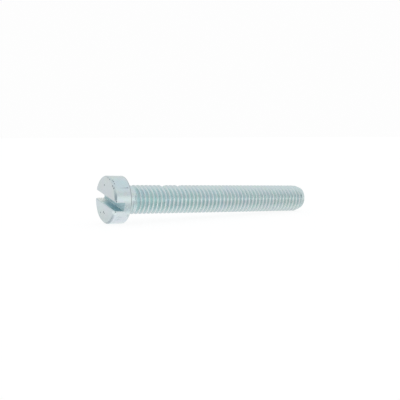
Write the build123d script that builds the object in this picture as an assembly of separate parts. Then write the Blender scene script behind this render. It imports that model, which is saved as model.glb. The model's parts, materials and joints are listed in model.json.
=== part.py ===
from build123d import *
from math import atan2, degrees
import os

# An M8 x 60 cheese head screw: one piece of steel, upset at the head, sawn across for the
# driver and rolled along its whole shank. Sizes are in millimetres.
# It is drawn along X, with the bearing face under the head at X = 0, the top of the head
# towards -X and the tip towards +X. At the end it is laid on a flat surface, where it rests
# on the rim of its head and on the last full turn of its thread.

# Head
head_diameter = 12.65
head_height = 4.7
rim_bevel = 0.52  # the bevel round the top of the head
bearing_edge = 0.12  # the broken edge where the side meets the bearing face

# Slot for the driver
slot_width = 2.25
slot_depth = 2.65
slot_corner = 0.25  # the round that the saw leaves along both sides of the floor
slot_lip = 0.2  # the broken edge along both sides of the mouth
slot_offset = 0.12  # how far the saw cut misses the middle of the head

# Shank, measured from the bearing face
shank_length = 60.0
neck_diameter = 7.4  # the plain part between the head and the thread
neck_length = 1.1
neck_fillet = 0.45  # the round between the neck and the bearing face
run_out = 0.25  # the slope from the neck to the thread's crests
thread_diameter = 7.77  # over the crests
tip_length = 1.8  # the taper at the point
tip_diameter = 6.4

# How it lies
rest_turn = 11.9  # degrees that the screw, and so its slot, is turned about its own axis

head_radius = head_diameter / 2
neck_radius = neck_diameter / 2
thread_radius = thread_diameter / 2
tip_radius = tip_diameter / 2


def turned_blank():
    """The screw as a body of revolution, from half of its lengthwise section."""
    with BuildPart() as blank:
        with BuildSketch(Plane.XZ):
            with BuildLine():
                head_line = Polyline(
                    (0, neck_radius + neck_fillet),
                    (0, head_radius - bearing_edge),
                    (-bearing_edge, head_radius),
                    (rim_bevel - head_height, head_radius),
                    (-head_height, head_radius - rim_bevel),
                    (-head_height, 0),
                )
                shank_line = Polyline(
                    (neck_fillet, neck_radius),
                    (neck_length, neck_radius),
                    (neck_length + run_out, thread_radius),
                    (shank_length - tip_length, thread_radius),
                    (shank_length, tip_radius),
                    (shank_length, 0),
                )
                RadiusArc(head_line @ 0, shank_line @ 0, neck_fillet)
                Line(head_line @ 1, shank_line @ 1)
            make_face()
        revolve(axis=Axis.X)
    return blank.part


def slot_cutter():
    """The saw cut across the head: a flat floor with round corners and broken edges at its mouth."""
    half_width = slot_width / 2
    floor = slot_depth - head_height
    mouth = -head_height
    beyond = mouth - slot_lip  # the cutter starts outside the head
    half_mouth = half_width + slot_lip
    with BuildPart() as cutter:
        with BuildSketch(Plane.XZ) as section:
            with BuildLine():
                Polyline(
                    (beyond, half_mouth + slot_lip),
                    (mouth, half_mouth),
                    (mouth + slot_lip, half_width),
                    (floor, half_width),
                    (floor, -half_width),
                    (mouth + slot_lip, -half_width),
                    (mouth, -half_mouth),
                    (beyond, -half_mouth - slot_lip),
                    close=True,
                )
            make_face()
            floor_corners = section.vertices().sort_by(Axis.X)[-2:]
            fillet(floor_corners, slot_corner)
        extrude(amount=head_diameter, both=True)
    return cutter.part.translate((0, 0, -slot_offset))


def laid_down(screw):
    """Tips the screw until the head's rim and the thread's end both touch Z = 0, centred over the origin."""
    rest_span = shank_length - tip_length + bearing_edge
    rest_angle = degrees(atan2(head_radius - thread_radius, rest_span))
    tipped = screw.rotate(Axis.X, rest_turn).rotate(Axis.Y, rest_angle)
    box = tipped.bounding_box()
    return tipped.translate((-box.center().X, -box.center().Y, -box.min.Z))


screw = laid_down(turned_blank() - slot_cutter())
screw.label = "screw"

os.makedirs("parts", exist_ok=True)
export_step(screw, "parts/screw.step")
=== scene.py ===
import bpy
import json
from math import atan2, cos, pi, radians, sin, tan
from mathutils import Matrix, Vector


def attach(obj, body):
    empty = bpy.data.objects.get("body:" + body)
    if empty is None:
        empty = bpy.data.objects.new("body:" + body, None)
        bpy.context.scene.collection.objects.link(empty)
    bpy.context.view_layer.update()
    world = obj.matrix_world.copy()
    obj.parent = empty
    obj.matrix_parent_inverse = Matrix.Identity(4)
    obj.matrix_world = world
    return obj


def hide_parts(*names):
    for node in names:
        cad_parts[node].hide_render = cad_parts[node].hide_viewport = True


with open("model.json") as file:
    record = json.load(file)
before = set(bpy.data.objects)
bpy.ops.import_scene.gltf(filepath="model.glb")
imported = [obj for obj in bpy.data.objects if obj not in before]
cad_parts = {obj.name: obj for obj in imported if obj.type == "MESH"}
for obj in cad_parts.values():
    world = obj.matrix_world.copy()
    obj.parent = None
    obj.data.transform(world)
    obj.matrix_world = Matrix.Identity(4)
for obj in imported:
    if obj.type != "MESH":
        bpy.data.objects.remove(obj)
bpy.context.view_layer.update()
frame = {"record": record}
scene = bpy.context.scene

# The screw is modelled lying along X, one unit to the millimetre, with the bearing face under
# its head at X = 0. At the end it is laid on the CAD screw's own seat and brought down to metres.
mm = 0.001
seat = next(m for m in frame["record"]["mounts"] if m["name"] == "bearing_face")
seatPoint = Vector(seat["pos_m"])
restTilt = atan2(-seat["axis"][2], seat["axis"][0])
restTurn = radians(11.9)  # how far the slot is turned from level

touch = 0.001  # points closer than this count as one, in mm
smoothAngle = radians(35)  # sharper edges stay sharp


def only(piece):
    bpy.ops.object.select_all(action="DESELECT")
    piece.select_set(True)
    bpy.context.view_layer.objects.active = piece


def drawSection(name, points):
    # a bare line from point to point above the screw's axis, ready for a spin
    start = points[0]
    bpy.ops.object.select_all(action="DESELECT")
    bpy.ops.mesh.primitive_plane_add(size=0.1, location=(start[0], 0, start[1]))
    section = bpy.context.object
    section.name = name
    bpy.ops.object.transform_apply(location=True)
    bpy.ops.object.mode_set(mode="EDIT")
    bpy.ops.mesh.select_mode(type="VERT")
    bpy.ops.mesh.select_all(action="SELECT")
    bpy.ops.mesh.merge(type="CENTER")
    for here, there in zip(points, points[1:]):
        step = (there[0] - here[0], 0, there[1] - here[1])
        bpy.ops.mesh.extrude_region_move(TRANSFORM_OT_translate={"value": step})
    bpy.ops.object.mode_set(mode="OBJECT")
    return section


def roundCorner(before, corner, after, radius, steps):
    # the points of a round that takes the place of a section's corner
    middle = Vector(corner)
    back = (Vector(before) - middle).normalized()
    ahead = (Vector(after) - middle).normalized()
    half = back.angle(ahead) / 2
    centre = middle + (back + ahead).normalized() * (radius / sin(half))
    start = middle + back * (radius / tan(half))
    sweep = pi - 2 * half
    across = (start - centre).normalized()
    along = -back
    return [
        tuple(centre + (across * cos(sweep * i / steps) + along * sin(sweep * i / steps)) * radius)
        for i in range(steps + 1)
    ]


def applyModifiers(piece):
    only(piece)
    for modifier in list(piece.modifiers):
        bpy.ops.object.modifier_apply(modifier=modifier.name)


def selectEdges(piece, test):
    # selects the edges that pass the test on their two end points, and stays in edit mode
    bpy.ops.object.mode_set(mode="OBJECT")
    only(piece)
    bpy.ops.object.mode_set(mode="EDIT")
    bpy.ops.mesh.select_mode(type="EDGE")
    bpy.ops.mesh.select_all(action="DESELECT")
    bpy.ops.object.mode_set(mode="OBJECT")
    points = piece.data.vertices
    for edge in piece.data.edges:
        edge.select = test(*[points[i].co for i in edge.vertices])
    bpy.ops.object.mode_set(mode="EDIT")


# Head and neck: half a section spun round the axis, then sawn across
head = {
    "radius": 6.318,
    "height": 4.7,
    "rimBevel": 0.52,
    "faceRing": 0.5,  # width of the ring round the flat middle of the top
    "rimRounding": 0.45,  # radius between the bevel and the side
    "rimSteps": 5,
    "faceRounding": 0.1,  # between the bevel and the top
    "faceSteps": 3,
    "bearingRounding": 0.21,
    "bearingSteps": 6,
    "steps": 96,
    "edgeSoftness": 0.05,
    "edgeSteps": 2,
    "edgeAngle": 30,
    "leastBevelAt": 65.0,  # degrees about the axis: the bevel is narrower round there
    "bevelUnevenness": 0.55,
    "bevelReach": 1.2,  # how far from the top the rim is drawn in
}
neck = {
    "radius": 3.7,
    "fillet": 0.45,
    "filletSteps": 6,
    "headEnds": 0.7,  # the head's piece of neck and the shank's are bridged from here
    "shankStarts": 0.9,
    "stub": 1.5,  # to where the head's section is drawn
}
neckArc = []
for step in range(neck["filletSteps"] + 1):
    turned = radians(90 * step / neck["filletSteps"])
    neckArc.append(
        (
            neck["fillet"] * (1 - sin(turned)),
            neck["radius"] + neck["fillet"] * (1 - cos(turned)),
        )
    )
bearingCorner = (0, head["radius"])
rimCorner = (head["rimBevel"] - head["height"], head["radius"])
faceCorner = (-head["height"], head["radius"] - head["rimBevel"])
faceInner = (-head["height"], faceCorner[1] - head["faceRing"])
headSection = drawSection(
    "upsetHead",
    [(neck["stub"], neck["radius"])]
    + neckArc
    + roundCorner(
        neckArc[-1], bearingCorner, rimCorner, head["bearingRounding"], head["bearingSteps"]
    )
    + roundCorner(bearingCorner, rimCorner, faceCorner, head["rimRounding"], head["rimSteps"])
    + roundCorner(rimCorner, faceCorner, faceInner, head["faceRounding"], head["faceSteps"])
    + [faceInner],
)
bpy.ops.object.mode_set(mode="EDIT")
bpy.ops.mesh.select_all(action="SELECT")
bpy.ops.mesh.spin(steps=head["steps"], angle=2 * pi, center=(0, 0, 0), axis=(1, 0, 0))
bpy.ops.mesh.select_all(action="SELECT")
bpy.ops.mesh.remove_doubles(threshold=touch)
bpy.ops.object.mode_set(mode="OBJECT")
for vertex in headSection.data.vertices:
    # the bevel is drawn in towards the sharp rim where it is least
    x, y, z = vertex.co
    radius = (y * y + z * z) ** 0.5
    if x > head["bevelReach"] - head["height"] or radius < faceInner[1] + touch:
        continue
    towardLeast = max(0, cos(atan2(z, y) - radians(head["leastBevelAt"])))
    size = 1 - head["bevelUnevenness"] * towardLeast**2
    vertex.co.x = -head["height"] + (x + head["height"]) * size
    drawnIn = head["radius"] - (head["radius"] - radius) * size
    vertex.co.y = y * drawnIn / radius
    vertex.co.z = z * drawnIn / radius
selectEdges(
    headSection,
    lambda a, b: max(a.x, b.x) < touch - head["height"]
    and max(a.yz.length, b.yz.length) < faceInner[1] + touch,
)
bpy.ops.mesh.edge_face_add()
selectEdges(headSection, lambda a, b: min(a.x, b.x) > neck["stub"] - touch)
bpy.ops.mesh.edge_face_add()
bpy.ops.mesh.select_all(action="SELECT")
bpy.ops.mesh.normals_make_consistent(inside=False)
bpy.ops.object.mode_set(mode="OBJECT")
print("head spun", len(headSection.data.vertices))

# Slot cutter: a bar with rounded floor corners and a flared mouth
slot = {
    "width": 2.25,
    "depth": 2.65,
    "corner": 0.25,
    "cornerSteps": 4,
    "lip": 0.2,
    "offset": 0.12,  # how far the saw misses the middle of the head
    "reach": 8.0,  # of the cutter, to both sides of the axis
}
floorAt = slot["depth"] - head["height"]
flareAt = slot["lip"] - head["height"]
bpy.ops.object.select_all(action="DESELECT")
bpy.ops.mesh.primitive_cube_add(size=1, location=((floorAt + flareAt) / 2, 0, -slot["offset"]))
cutter = bpy.context.object
cutter.name = "slotCutter"
cutter.scale = (floorAt - flareAt, 2 * slot["reach"], slot["width"])
bpy.ops.object.transform_apply(location=True, scale=True)
selectEdges(cutter, lambda a, b: max(a.x, b.x) < flareAt + touch)
for flare in (slot["width"] / 2 + slot["lip"], slot["width"] / 2 + 2 * slot["lip"]):
    bpy.ops.mesh.extrude_region_move(TRANSFORM_OT_translate={"value": (-slot["lip"], 0, 0)})
    bpy.ops.transform.resize(
        value=(1, 1, flare / (flare - slot["lip"])), center_override=(0, 0, -slot["offset"])
    )
bpy.ops.object.mode_set(mode="OBJECT")
selectEdges(
    cutter,
    lambda a, b: min(a.x, b.x) > floorAt - touch and abs(a.y - b.y) > slot["reach"],
)
bpy.ops.mesh.bevel(offset=slot["corner"], segments=slot["cornerSteps"], affect="EDGES")
bpy.ops.object.mode_set(mode="OBJECT")
cutter.data.transform(Matrix.Rotation(restTurn, 4, "X"))
sawn = headSection.modifiers.new("slot", "BOOLEAN")
sawn.operation = "DIFFERENCE"
sawn.object = cutter
sawn.solver = "EXACT"
soft = headSection.modifiers.new("edges", "BEVEL")
soft.width = head["edgeSoftness"]
soft.segments = head["edgeSteps"]
soft.limit_method = "ANGLE"
soft.angle_limit = radians(head["edgeAngle"])
applyModifiers(headSection)
bpy.data.objects.remove(cutter)
bpy.ops.object.mode_set(mode="EDIT")
bpy.ops.mesh.select_all(action="SELECT")
bpy.ops.mesh.bisect(plane_co=(neck["headEnds"], 0, 0), plane_no=(1, 0, 0), clear_outer=True)
bpy.ops.object.mode_set(mode="OBJECT")
print("head sawn", len(headSection.data.vertices))

# Pits and nicks of the head, each a small ball's dint: where it lies, how wide and how deep
headMarks = [
    ((-4.70, 0.63, 3.83), 0.52, 0.15),
    ((-4.70, 2.74, -3.55), 0.50, 0.14),
    ((-4.70, 0.83, -3.29), 0.56, 0.16),
    ((-4.70, 0.24, -3.52), 0.40, 0.10),
    ((-4.69, -4.30, 3.91), 0.38, 0.12),
    ((-4.62, -1.37, 5.76), 0.30, 0.10),
    ((-4.60, -2.33, 5.43), 0.36, 0.10),
    ((-4.26, -3.28, 5.33), 0.34, 0.08),
    ((-4.25, -3.75, 5.02), 0.34, 0.08),
    ((-4.20, -4.39, 4.55), 0.30, 0.06),
    ((-4.60, -4.93, 3.33), 0.26, 0.07),
    ((-4.30, -6.16, -0.02), 0.36, 0.08),
    ((-4.28, -5.61, -2.70), 0.28, 0.05),
    ((-0.90, -5.27, 3.49), 0.26, 0.04),
]


def outwardAt(point):
    # square to the head's surface: off the top, off the side, or off the bevel between them
    side = Vector((0, point[1], point[2]))
    if point[0] > head["rimBevel"] - head["height"]:
        return side.normalized()
    if side.length < head["radius"] - head["rimBevel"] - head["faceRounding"]:
        return Vector((-1, 0, 0))
    return (side.normalized() + Vector((-1, 0, 0))).normalized()


bpy.ops.object.select_all(action="DESELECT")
balls = []
for point, width, depth in headMarks:
    radius = (width**2 / 4 + depth**2) / (2 * depth)
    bpy.ops.mesh.primitive_ico_sphere_add(
        subdivisions=3, radius=radius, location=Vector(point) + outwardAt(point) * (radius - depth)
    )
    balls.append(bpy.context.object)
for ball in balls:
    ball.select_set(True)
bpy.ops.object.join()
dinter = bpy.context.object
bpy.ops.object.transform_apply(location=True)
dinted = headSection.modifiers.new("marks", "BOOLEAN")
dinted.operation = "DIFFERENCE"
dinted.object = dinter
dinted.solver = "EXACT"
applyModifiers(headSection)
bpy.data.objects.remove(dinter)
print("head marked", len(headSection.data.vertices))

# Thread: one pitch of its section, screwed along the shank
thread = {
    "pitch": 1.25,
    "crestRadius": 3.885,
    "rootRadius": 3.118,
    "crestHalf": 1.25 / 19,  # half the width of the flat on a crest
    "flankAngle": 30,  # degrees off square to the axis
    "steps": 96,
    "firstCrest": 1.078,  # a crest's middle on the upper side
    "startsBefore": 2.5,  # pitches that are wound before it
    "fadeStart": 1.4,
    "fadeLength": 1.9,
    "length": 59.99,
    "tipLength": 1.8,
    "tipRadius": 3.2,
    "tipOffset": 0.13,  # the taper's end is that far above the axis
    "tipRings": ((0.86, 0.0), (0.84, 0.07)),  # each ring's size inside the last, and how sunk
    "mergeWithin": 0.0005,
    "tipMergeWithin": 0.03,
}
rise = thread["crestRadius"] - thread["rootRadius"]
flank = rise * tan(radians(thread["flankAngle"]))
rootHalf = thread["pitch"] / 2 - thread["crestHalf"] - flank
# from the middle of a root to the edge of a crest: how far along, and how much of the rise
halfPitch = [
    (0.0, 0.0),
    (0.6 * rootHalf, 0.02),
    (rootHalf + 0.10 * flank, 0.13),
    (rootHalf + 0.5 * flank, 0.5),
    (rootHalf + 0.93 * flank, 0.93),
    (rootHalf + flank + 0.3 * thread["crestHalf"], 0.995),
]
across = [(x, thread["rootRadius"] + h * rise) for x, h in halfPitch]
across += [(thread["pitch"] - x, r) for x, r in reversed(across)]
firstRoot = thread["firstCrest"] - thread["startsBefore"] * thread["pitch"]
shank = drawSection("cheeseHeadScrew", [(firstRoot + x, r) for x, r in across])
spareTurns = 2  # wound past the tip and cut off there
turns = int((thread["length"] - firstRoot) / thread["pitch"]) + spareTurns
wind = shank.modifiers.new("thread", "SCREW")
wind.axis = "X"
wind.angle = 2 * pi
wind.screw_offset = thread["pitch"]
wind.iterations = turns
wind.steps = wind.render_steps = thread["steps"]
wind.use_merge_vertices = True
wind.merge_threshold = touch
applyModifiers(shank)

# The groove fades out at the neck, and the tip's taper cuts the crests down. Two crests are
# dented: where along the screw, how many degrees about its axis, how wide and how deep
dents = [
    {"along": 12.50, "angle": 84.0, "reach": 1.0, "depth": 0.62},
    {"along": 17.70, "angle": 84.0, "reach": 0.85, "depth": 0.58},
]
for vertex in shank.data.vertices:
    x, y, z = vertex.co
    wound = (y * y + z * z) ** 0.5
    radius = wound
    for dent in dents:
        arc = (atan2(z, y) - radians(dent["angle"])) * thread["crestRadius"]
        away = ((x - dent["along"]) ** 2 + arc**2) ** 0.5 / dent["reach"]
        if away < 1:
            radius = min(radius, thread["crestRadius"] - dent["depth"] * (1 - away**2))
    fade = min(1, max(0, (x - thread["fadeStart"]) / thread["fadeLength"]))
    fade = fade * fade * (3 - 2 * fade)
    shaped = neck["radius"] + (radius - neck["radius"]) * fade
    alongTip = (thread["length"] - x) / thread["tipLength"]
    tipRadius = thread["tipRadius"] + thread["tipOffset"] * z / wound
    taper = tipRadius + (thread["crestRadius"] - tipRadius) * alongTip
    shaped = min(shaped, taper)
    vertex.co.y = y * shaped / wound
    vertex.co.z = z * shaped / wound
bpy.ops.object.mode_set(mode="EDIT")
bpy.ops.mesh.select_all(action="SELECT")
bpy.ops.mesh.remove_doubles(threshold=thread["mergeWithin"])
bpy.ops.mesh.select_all(action="SELECT")
bpy.ops.mesh.bisect(plane_co=(neck["shankStarts"], 0, 0), plane_no=(1, 0, 0), clear_inner=True)
bpy.ops.mesh.select_all(action="SELECT")
bpy.ops.mesh.bisect(plane_co=(thread["length"], 0, 0), plane_no=(1, 0, 0), clear_outer=True)
selectEdges(shank, lambda a, b: min(a.x, b.x) > thread["length"] - touch)
bpy.ops.mesh.remove_doubles(threshold=thread["tipMergeWithin"])
# the end: a flat ring round a slightly sunk middle
for inward, sunk in thread["tipRings"]:
    bpy.ops.mesh.extrude_region_move(TRANSFORM_OT_translate={"value": (-sunk, 0, 0)})
    bpy.ops.transform.resize(value=(1, inward, inward), center_override=(thread["length"], 0, 0))
bpy.ops.mesh.edge_face_add()
bpy.ops.object.mode_set(mode="OBJECT")
print("thread wound", len(shank.data.vertices))

# Head and shank joined at the neck
bpy.ops.object.select_all(action="DESELECT")
headSection.select_set(True)
shank.select_set(True)
bpy.context.view_layer.objects.active = shank
bpy.ops.object.join()
bpy.ops.object.mode_set(mode="EDIT")
bpy.ops.mesh.select_mode(type="EDGE")
bpy.ops.mesh.select_all(action="DESELECT")
bpy.ops.mesh.select_non_manifold(use_wire=False, use_multi_face=False, use_non_contiguous=False)
bpy.ops.mesh.bridge_edge_loops()
bpy.ops.mesh.select_all(action="SELECT")
bpy.ops.mesh.normals_make_consistent(inside=False)
bpy.ops.object.mode_set(mode="OBJECT")

# How deep in a mark each point lies, for the darker colour there
markReach = 0.55  # of a mark's width
markDepth = shank.data.attributes.new("markDepth", "FLOAT", "POINT")
for point, width, depth in headMarks:
    bottom = Vector(point) - outwardAt(point) * depth
    for vertex in shank.data.vertices:
        away = (vertex.co - bottom).length / (markReach * width)
        if away < 1:
            markDepth.data[vertex.index].value = 1 - away * away

# Laid on its seat, in metres
laid = Matrix.Translation(seatPoint) @ Matrix.Rotation(restTilt, 4, "Y") @ Matrix.Scale(mm, 4)
shank.data.transform(laid)
shank.data.update()
only(shank)
bpy.ops.object.shade_smooth_by_angle(angle=smoothAngle)
print("screw laid down", len(shank.data.polygons))

# Zinc plate: pale on the outside, bluer in the recesses, where the passivation lies thicker
# Painted light and shade in the colour too: brighter crests, paler grooves above, a dark upper
# bearing rim, a darker neck under the head, a darker lower bevel, a paler lower top, a paler slot
# mouth and ends, and a glint
zincLook = {
    "outside": (0.66, 0.755, 0.765),
    # painted highlight: the crests are coloured brighter than the plate
    "crest": (0.94, 0.95, 0.95),
    "recessByHead": (0.585, 0.765, 0.772),
    "recessByTip": (0.645, 0.77, 0.765),
    # painted light: the grooves paler on the upper side
    "recessAboveLit": (0.69, 0.79, 0.80),
    # painted shade: the neck darker under the head
    "underHeadShade": (0.56, 0.66, 0.68),
    # painted shade: a dark line on the upper part of the bearing rim
    "bearingEdgeShade": (0.37, 0.42, 0.42),
    "bevel": (0.62, 0.71, 0.73),
    # painted shade: the bevel darker on its lower side
    "bevelLowShade": (0.40, 0.46, 0.485),
    "face": (0.60, 0.655, 0.668),
    # painted light: the head's top paler on its lower half
    "faceLowLit": (0.64, 0.71, 0.723),
    "slot": (0.545, 0.71, 0.765),
    # painted light: the slot paler towards its mouth and at both ends
    "slotMouthLit": (0.76, 0.89, 0.88),
    "slotFarEndLit": (0.90, 0.93, 0.90),
    "slotNearEndLit": (0.70, 0.82, 0.835),
    "slotFloor": (0.53, 0.69, 0.71),
    "slotFloorDull": (0.43, 0.57, 0.60),
    "mark": (0.19, 0.22, 0.24),
    "speck": (0.30, 0.38, 0.40),
    "stain": (0.38, 0.51, 0.52),
    "lilac": (0.70, 0.735, 0.79),
    "blue": (0.62, 0.755, 0.80),
    # painted highlight: a bright spot on the lower bevel by the slot's end
    "paintedGlint": (0.84, 0.94, 0.93),
    "recessAboveLitAmount": 0.5,
    "crestHighlightAboveLoss": 0.75,  # how much less of the painted highlight the crests get on the upper side
    "patchAmount": 0.6,
    "stainAmount": 0.5,
    "speckAmount": 0.8,
    "tintAmount": 0.05,
    "tintPerMm": 0.4,
    "outsideTintAmount": 0.09,
    "outsideTintPerMm": 1.1,
    "patchesPerMm": 2.8,
    "stainPatches": (0.42, 0.58),
    "dullPatches": (0.4, 0.6),
    "specksPerMm": 0.75,
    "speckReach": 0.09,
    "speckChance": (0.55, 0.6),
    "markFull": 0.7,
    "roughness": 0.2,
    "faceRoughness": 0.36,
    "grooveRoughness": 0.34,
    "slotRoughness": 0.5,
    "cloudsPerMm": 3.0,
    "cloudRange": (0.75, 1.25),  # of the roughness
    "sawLines": (14, 0.5, 0.5),  # how close they lie along, across and up the screw
    "sawLineHeight": 2.0,  # of the grain's
    "grainPerMm": 9,
    "grainDepth": 0.0025,  # in mm
}
# Where each tone starts and where it is full, in mm: along the screw from the bearing face, out
# from its axis, across the slot, or towards the far side and up
top = -head["height"]
bevelEnd = head["rimBevel"] - head["height"]
zones = {
    "grooveOut": (3.85, 3.2),
    "grooveAlong": (thread["fadeStart"] + 0.2, thread["fadeStart"] + thread["fadeLength"] - 0.3),
    "crestOut": (3.81, 3.87),
    "crestEnds": (4.0, 3.9),
    "crestAlong": (1.5, 3.0),
    "above": (0.6, 2.4),
    "recess": (2, thread["length"]),
    "underHeadShade": (-0.1, 0.0),
    "underHeadEnds": (1.4, 1.25),
    "bearingAlong": (-0.38, -0.18),
    "bearingOut": (5.6, 5.9),
    "bearingUp": (-2.4, -0.8),
    "face": (top + 0.06, top + 0.01),
    "faceLowLit": (1.5, -1.5),
    "bevel": (bevelEnd + 0.05, bevelEnd - 0.1),
    "bevelLowShade": (-3.4, -4.4),
    "side": (5.9, 6.2),
    "slotAcross": (slot["width"] / 2 + 0.1, slot["width"] / 2 + 0.02),
    "slotStarts": (flareAt - 0.1, flareAt + 0.1),
    "slotEnds": (floorAt + 0.2, floorAt + 0.1),
    "slotMouthLit": (-3.0, -4.6),
    "slotFarEndLit": (0.8, 5.2),
    "slotNearEndLit": (-4.0, -5.8),
    "slotFloor": (floorAt - 0.35, floorAt - 0.15),
}
lilacPatch = {"at": (-2.2, -4.4, -4.4), "reach": 3.6}
bluePatch = {"at": (-2.4, -4.6, 4.3), "reach": 3.0}
# painted highlight on the lower bevel
paintedGlintPatch = {"at": (-4.54, -5.23, -2.94), "reach": 0.8}
stains = [
    {"at": (-1.3, -6.0, -1.8), "reach": 1.9},  # beside the slot's end
    {"at": (-2.9, -4.4, -4.5), "reach": 1.2},
    {"at": (-0.6, -5.14, -3.69), "reach": 0.5},
]
zinc = bpy.data.materials.new("zincPlate")
zinc.use_nodes = True
nodes, links = zinc.node_tree.nodes, zinc.node_tree.links
shader = nodes["Principled BSDF"]


def mathNode(operation, a, b=0.0, c=0.0):
    node = nodes.new("ShaderNodeMath")
    node.operation = operation
    for socket, value in zip(node.inputs, (a, b, c)):
        if isinstance(value, (int, float)):
            socket.default_value = value
        else:
            links.new(value, socket)
    return node.outputs[0]


def times(first, *others):
    for other in others:
        first = mathNode("MULTIPLY", first, other)
    return first


def ramp(value, start, full):
    # 0 at start, 1 at full, smooth between
    node = nodes.new("ShaderNodeMapRange")
    node.interpolation_type = "SMOOTHSTEP"
    links.new(value, node.inputs["Value"])
    node.inputs["From Min"].default_value = min(start, full)
    node.inputs["From Max"].default_value = max(start, full)
    node.inputs["To Min"].default_value = 0 if start < full else 1
    node.inputs["To Max"].default_value = 1 if start < full else 0
    return node.outputs["Result"]


def blendColours(factor, a, b):
    node = nodes.new("ShaderNodeMix")
    node.data_type = "RGBA"
    links.new(factor, node.inputs["Factor"])
    for name, value in (("A", a), ("B", b)):
        if isinstance(value, tuple):
            node.inputs[name].default_value = (*value, 1)
        else:
            links.new(value, node.inputs[name])
    return node.outputs["Result"]


place = nodes.new("ShaderNodeTexCoord")
alongScrew = nodes.new("ShaderNodeMapping")  # gives millimetres along and about the screw's axis
alongScrew.vector_type = "TEXTURE"
alongScrew.inputs["Location"].default_value = seatPoint
alongScrew.inputs["Rotation"].default_value = (0, restTilt, 0)
alongScrew.inputs["Scale"].default_value = (mm, mm, mm)
links.new(place.outputs["Object"], alongScrew.inputs["Vector"])
split = nodes.new("ShaderNodeSeparateXYZ")
links.new(alongScrew.outputs["Vector"], split.inputs["Vector"])
along, yAxis, zAxis = split.outputs
fromAxis = mathNode(
    "SQRT", mathNode("ADD", mathNode("POWER", yAxis, 2), mathNode("POWER", zAxis, 2))
)
acrossSlot = mathNode(
    "ADD",
    mathNode("SUBTRACT", times(zAxis, cos(restTurn)), times(yAxis, sin(restTurn))),
    slot["offset"],
)
inSlot = times(
    ramp(mathNode("ABSOLUTE", acrossSlot), *zones["slotAcross"]),
    ramp(along, *zones["slotStarts"]),
    ramp(along, *zones["slotEnds"]),
)
inGroove = times(ramp(fromAxis, *zones["grooveOut"]), ramp(along, *zones["grooveAlong"]))
onFace = ramp(along, *zones["face"])
onBevel = ramp(along, *zones["bevel"])
onSide = ramp(fromAxis, *zones["side"])
# painted shade on the neck under the head
underHeadShade = times(ramp(along, *zones["underHeadShade"]), ramp(along, *zones["underHeadEnds"]))
# painted shade: a dark line on the upper part of the bearing rim
bearingRimShade = times(
    ramp(along, *zones["bearingAlong"]),
    ramp(fromAxis, *zones["bearingOut"]),
    ramp(zAxis, *zones["bearingUp"]),
)
# the upper side, where painted light makes the grooves paler and the painted crest highlight
# weaker
above = ramp(zAxis, *zones["above"])
# painted highlight on the crests, weaker on the upper side
onCrestHighlight = times(
    ramp(fromAxis, *zones["crestOut"]),
    ramp(along, *zones["crestAlong"]),
    ramp(fromAxis, *zones["crestEnds"]),
    mathNode("MULTIPLY_ADD", above, -zincLook["crestHighlightAboveLoss"], 1),
)


def noise(scale, detail, roughness=0.5, stretch=(1, 1, 1)):
    node = nodes.new("ShaderNodeTexNoise")
    node.inputs["Scale"].default_value = scale
    node.inputs["Detail"].default_value = detail
    node.inputs["Roughness"].default_value = roughness
    scaled = nodes.new("ShaderNodeVectorMath")
    scaled.operation = "MULTIPLY"
    links.new(alongScrew.outputs["Vector"], scaled.inputs[0])
    scaled.inputs[1].default_value = stretch
    links.new(scaled.outputs["Vector"], node.inputs["Vector"])
    return node


def tinted(colour, scale, amount):
    # pink, green and blue drift in the passivation
    drift = nodes.new("ShaderNodeVectorMath")
    drift.operation = "MULTIPLY_ADD"
    links.new(noise(scale, 2).outputs["Color"], drift.inputs[0])
    drift.inputs[1].default_value = (2 * amount,) * 3
    drift.inputs[2].default_value = (1 - amount,) * 3
    product = nodes.new("ShaderNodeVectorMath")
    product.operation = "MULTIPLY"
    links.new(colour, product.inputs[0])
    links.new(drift.outputs["Vector"], product.inputs[1])
    return product.outputs["Vector"]


specks = nodes.new("ShaderNodeTexVoronoi")
specks.inputs["Scale"].default_value = zincLook["specksPerMm"]
links.new(alongScrew.outputs["Vector"], specks.inputs["Vector"])
speckChance = nodes.new("ShaderNodeSeparateXYZ")
links.new(specks.outputs["Color"], speckChance.inputs["Vector"])
speck = times(
    ramp(specks.outputs["Distance"], zincLook["speckReach"], 0.5 * zincLook["speckReach"]),
    ramp(speckChance.outputs["X"], *zincLook["speckChance"]),
)
patchy = noise(zincLook["patchesPerMm"], 4, 0.65).outputs["Fac"]


def nearPoint(patch):
    # 0 past the patch's reach, 1 in the inner third of it
    gap = nodes.new("ShaderNodeVectorMath")
    gap.operation = "DISTANCE"
    links.new(alongScrew.outputs["Vector"], gap.inputs[0])
    gap.inputs[1].default_value = patch["at"]
    return ramp(gap.outputs["Value"], patch["reach"], 0.3 * patch["reach"])


stain = 0.0
for patch in stains:
    here = times(nearPoint(patch), ramp(patchy, *zincLook["stainPatches"]))
    stain = mathNode("MAXIMUM", here, stain)
markedAt = nodes.new("ShaderNodeAttribute")
markedAt.attribute_name = "markDepth"
mark = ramp(markedAt.outputs["Fac"], 0.0, zincLook["markFull"])

# thread, then head, then slot, then what lies over them all
recess = blendColours(
    ramp(along, *zones["recess"]), zincLook["recessByHead"], zincLook["recessByTip"]
)
# painted light: the grooves paler on the upper side
paintedLightAbove = times(above, zincLook["recessAboveLitAmount"])
recess = blendColours(paintedLightAbove, recess, zincLook["recessAboveLit"])
outside = nodes.new("ShaderNodeRGB")
outside.outputs[0].default_value = (*zincLook["outside"], 1)
outsideTinted = tinted(
    outside.outputs[0], zincLook["outsideTintPerMm"], zincLook["outsideTintAmount"]
)
colour = blendColours(inGroove, outsideTinted, recess)
# painted highlight on the crests
colour = blendColours(onCrestHighlight, colour, zincLook["crest"])
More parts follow.
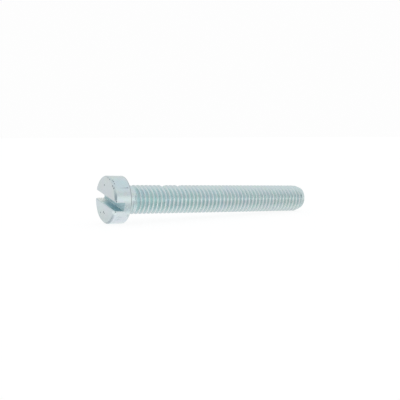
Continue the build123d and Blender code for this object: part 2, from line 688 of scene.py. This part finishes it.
# painted shade: the bevel darker on its lower side
bevelColour = blendColours(
    ramp(zAxis, *zones["bevelLowShade"]), zincLook["bevel"], zincLook["bevelLowShade"]
)
colour = blendColours(onBevel, colour, bevelColour)
# painted light: the head's top paler on its lower half
faceColour = blendColours(
    ramp(acrossSlot, *zones["faceLowLit"]), zincLook["face"], zincLook["faceLowLit"]
)
colour = blendColours(onFace, colour, faceColour)
# painted light: the slot paler towards its mouth and at both ends
slotColour = blendColours(
    ramp(along, *zones["slotMouthLit"]), zincLook["slot"], zincLook["slotMouthLit"]
)
for slotEnd in ("slotFarEndLit", "slotNearEndLit"):
    slotColour = blendColours(ramp(yAxis, *zones[slotEnd]), slotColour, zincLook[slotEnd])
slotFloor = blendColours(
    ramp(patchy, *zincLook["dullPatches"]), zincLook["slotFloor"], zincLook["slotFloorDull"]
)
slotColour = blendColours(ramp(along, *zones["slotFloor"]), slotColour, slotFloor)
colour = blendColours(inSlot, colour, slotColour)
# painted shade on the upper bearing rim
colour = blendColours(bearingRimShade, colour, zincLook["bearingEdgeShade"])
# painted shade on the neck under the head
colour = blendColours(underHeadShade, colour, zincLook["underHeadShade"])
for patch, tone in ((lilacPatch, "lilac"), (bluePatch, "blue")):
    onPatch = times(nearPoint(patch), onSide, zincLook["patchAmount"])
    colour = blendColours(onPatch, colour, zincLook[tone])
# painted highlight on the lower bevel
colour = blendColours(nearPoint(paintedGlintPatch), colour, zincLook["paintedGlint"])
colour = blendColours(times(stain, zincLook["stainAmount"]), colour, zincLook["stain"])
colour = blendColours(times(speck, zincLook["speckAmount"]), colour, zincLook["speck"])
colour = tinted(colour, zincLook["tintPerMm"], zincLook["tintAmount"])
colour = blendColours(mark, colour, zincLook["mark"])
links.new(colour, shader.inputs["Base Color"])

roughness = zincLook["roughness"]
for where, name in (
    (onFace, "faceRoughness"),
    (inGroove, "grooveRoughness"),
    (inSlot, "slotRoughness"),
):
    more = zincLook[name] - zincLook["roughness"]
    roughness = mathNode("MULTIPLY_ADD", where, more, roughness)
smoothest, roughest = zincLook["cloudRange"]
clouds = noise(zincLook["cloudsPerMm"], 3).outputs["Fac"]
clouded = mathNode("MULTIPLY_ADD", clouds, roughest - smoothest, smoothest)
links.new(times(roughness, clouded), shader.inputs["Roughness"])

sawLines = noise(1.0, 3, 0.6, zincLook["sawLines"]).outputs["Fac"]
grain = noise(zincLook["grainPerMm"], 4, 0.6).outputs["Fac"]
relief = mathNode("ADD", grain, times(inSlot, sawLines, zincLook["sawLineHeight"]))
bump = nodes.new("ShaderNodeBump")
bump.inputs["Strength"].default_value = 1.0
bump.inputs["Distance"].default_value = zincLook["grainDepth"] * mm
links.new(relief, bump.inputs["Height"])
links.new(bump.outputs["Normal"], shader.inputs["Normal"])
shader.inputs["Metallic"].default_value = 1.0
shank.data.materials.clear()
shank.data.materials.append(zinc)
print("zinc plate laid on", len(nodes))

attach(shank, "root")
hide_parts("screw")

# Floor: the camera sees plain paper. Reflected rays see a painted reflection in the paper's glow
# instead:
# palest close round the screw, greyer past that and pale again towards the room
paperLook = {
    "size": 6,
    "shade": 0.14,
    "glow": 0.89,
    "reflectedShade": 0.28,
    "headGlow": 0.80,
    "shankGlow": 0.66,
    "greyGlow": (0.60, 0.50),  # by the head and by the shank
    "roomGlow": 0.76,
    "paleEnds": 0.0335,
    "paleHalfWidth": (0.0075, 0.0035),  # by the head and by the shank
    "headToShank": (-0.0285, -0.0265),  # where the one turns into the other
    "slant": 0.62,  # that border runs at a slant across the paper
    "greyStarts": 0.002,
    "roomStarts": (0.012, 0.05),
}
bpy.ops.object.select_all(action="DESELECT")
bpy.ops.mesh.primitive_plane_add(size=paperLook["size"])
floor = bpy.context.object
floor.name = "paleFloor"
paper = bpy.data.materials.new("paleFloor")
paper.use_nodes = True
nodes, links = paper.node_tree.nodes, paper.node_tree.links
shader = nodes["Principled BSDF"]
rays = nodes.new("ShaderNodeLightPath")
shade = blendColours(
    rays.outputs["Is Camera Ray"],
    (paperLook["reflectedShade"],) * 3,
    (paperLook["shade"],) * 3,
)
links.new(shade, shader.inputs["Base Color"])
onPaper = nodes.new("ShaderNodeTexCoord")
paperXyz = nodes.new("ShaderNodeSeparateXYZ")
links.new(onPaper.outputs["Object"], paperXyz.inputs["Vector"])
paperX, paperY, _ = paperXyz.outputs
slanted = mathNode("MULTIPLY_ADD", paperY, paperLook["slant"], paperX)
byShank = ramp(slanted, *paperLook["headToShank"])
headHalf, shankHalf = paperLook["paleHalfWidth"]
halfWidth = mathNode("MULTIPLY_ADD", byShank, shankHalf - headHalf, headHalf)
squares = []
for spread, reach in ((paperX, paperLook["paleEnds"]), (paperY, halfWidth)):
    past = mathNode("SUBTRACT", mathNode("ABSOLUTE", spread), reach)
    squares.append(mathNode("POWER", mathNode("MAXIMUM", past, 0), 2))
away = mathNode("SQRT", mathNode("ADD", *squares))
greyHere = ramp(away, 0, paperLook["greyStarts"])
roomHere = ramp(away, *paperLook["roomStarts"])
paleGlow = mathNode(
    "MULTIPLY_ADD", byShank, paperLook["shankGlow"] - paperLook["headGlow"], paperLook["headGlow"]
)
greyByHead, greyByShank = paperLook["greyGlow"]
greyGlow = mathNode("MULTIPLY_ADD", byShank, greyByShank - greyByHead, greyByHead)
glow = mathNode("MULTIPLY_ADD", greyHere, mathNode("SUBTRACT", greyGlow, paleGlow), paleGlow)
toRoom = mathNode("SUBTRACT", paperLook["roomGlow"], greyGlow)
glow = mathNode("MULTIPLY_ADD", roomHere, toRoom, glow)
# the camera sees the plain glow, reflected rays the painted one
glow = mathNode(
    "ADD",
    times(rays.outputs["Is Camera Ray"], paperLook["glow"]),
    times(mathNode("SUBTRACT", 1, rays.outputs["Is Camera Ray"]), glow),
)
links.new(glow, shader.inputs["Emission Strength"])
shader.inputs["Roughness"].default_value = 1.0
shader.inputs["Specular IOR Level"].default_value = 0.0
shader.inputs["Emission Color"].default_value = (1, 1, 1, 1)
floor.data.materials.append(paper)
print("floor laid", floor.name)

# Light: a white room that is greyer overhead, to the left and round the photographer
room = {
    "white": 0.985,
    # height of a direction, from 0 level to 1 straight up, and the room's colour there
    "upward": [
        (0.10, (0.985, 0.985, 0.985)),
        (0.24, (0.92, 0.915, 0.915)),
        (0.36, (0.765, 0.765, 0.77)),
        (0.48, (0.775, 0.775, 0.785)),
        (0.62, (0.855, 0.855, 0.855)),
        (0.80, (0.836, 0.852, 0.872)),
        (1.00, (0.81, 0.84, 0.87)),
    ],
    # greyer places: the colour, the direction, and how many degrees off it they end and are full
    "leftSide": ((0.66, 0.69, 0.70), (-0.97, -0.10, -0.05), (46, 20)),
    "photographer": ((0.33, 0.38, 0.41), (-0.80, -0.58, 0.12), (26, 8)),
}
world = bpy.data.worlds.new("whiteRoom")
scene.world = world
world.use_nodes = True
nodes, links = world.node_tree.nodes, world.node_tree.links
background = nodes["Background"]
direction = nodes.new("ShaderNodeTexCoord")


def worldPatch(before, colour, toward, spreadDegrees):
    # blends a colour into the room round one direction
    dot = nodes.new("ShaderNodeVectorMath")
    dot.operation = "DOT_PRODUCT"
    links.new(direction.outputs["Generated"], dot.inputs[0])
    dot.inputs[1].default_value = Vector(toward).normalized()
    outer, inner = [cos(radians(a)) for a in spreadDegrees]
    return blendColours(ramp(dot.outputs["Value"], outer, inner), before, colour)


splitUp = nodes.new("ShaderNodeSeparateXYZ")
links.new(direction.outputs["Generated"], splitUp.inputs["Vector"])
upward = nodes.new("ShaderNodeValToRGB")
stops = upward.color_ramp.elements
while len(stops) < len(room["upward"]):
    stops.new(0.5)
for stop, (height, tone) in zip(stops, room["upward"]):
    stop.position = height
    stop.color = (*tone, 1)
links.new(splitUp.outputs["Z"], upward.inputs["Fac"])
seen = worldPatch(upward.outputs["Color"], *room["leftSide"])
seen = worldPatch(seen, *room["photographer"])
rays = nodes.new("ShaderNodeLightPath")
seen = blendColours(rays.outputs["Is Camera Ray"], seen, (room["white"],) * 3)
links.new(seen, background.inputs["Color"])
background.inputs["Strength"].default_value = 1.0
print("room lit", world.name)

# A weak soft lamp to the camera's right
softbox = {
    "toward": (0.525, -0.851),
    "distance": 0.35,
    "width": 0.3,
    "height": 0.13,
    "middle": 0.066,
    "radiance": 0.05,
}
bpy.ops.object.light_add(type="AREA")
lamp = bpy.context.object
lamp.name = "softbox"
lamp.data.shape = "RECTANGLE"
lamp.data.size = softbox["width"]
lamp.data.size_y = softbox["height"]
lamp.data.energy = softbox["radiance"] * pi * softbox["width"] * softbox["height"]
lamp.location = (
    seatPoint.x + softbox["toward"][0] * softbox["distance"],
    softbox["toward"][1] * softbox["distance"],
    softbox["middle"],
)
aim = Vector((seatPoint.x, 0, softbox["middle"])) - lamp.location
lamp.rotation_euler = aim.to_track_quat("-Z", "Y").to_euler()

# Camera, a little above the screw and past its head
viewpoint = {
    "lens": 62.776,  # on a frame 36 mm wide
    "at": (-0.1066305, -0.1665106, 0.0238008),
    "down": 5.48,  # degrees below level
    "turn": -31.854,  # degrees about the vertical, from a look along +Y
    "nearest": 0.01,
}
cameraData = bpy.data.cameras.new("camera")
camera = bpy.data.objects.new("camera", cameraData)
scene.collection.objects.link(camera)
cameraData.sensor_width = 36
cameraData.lens = viewpoint["lens"]
cameraData.clip_start = viewpoint["nearest"]
camera.location = viewpoint["at"]
camera.rotation_euler = (radians(90 - viewpoint["down"]), 0, radians(viewpoint["turn"]))
scene.camera = camera
scene.view_settings.view_transform = "Standard"
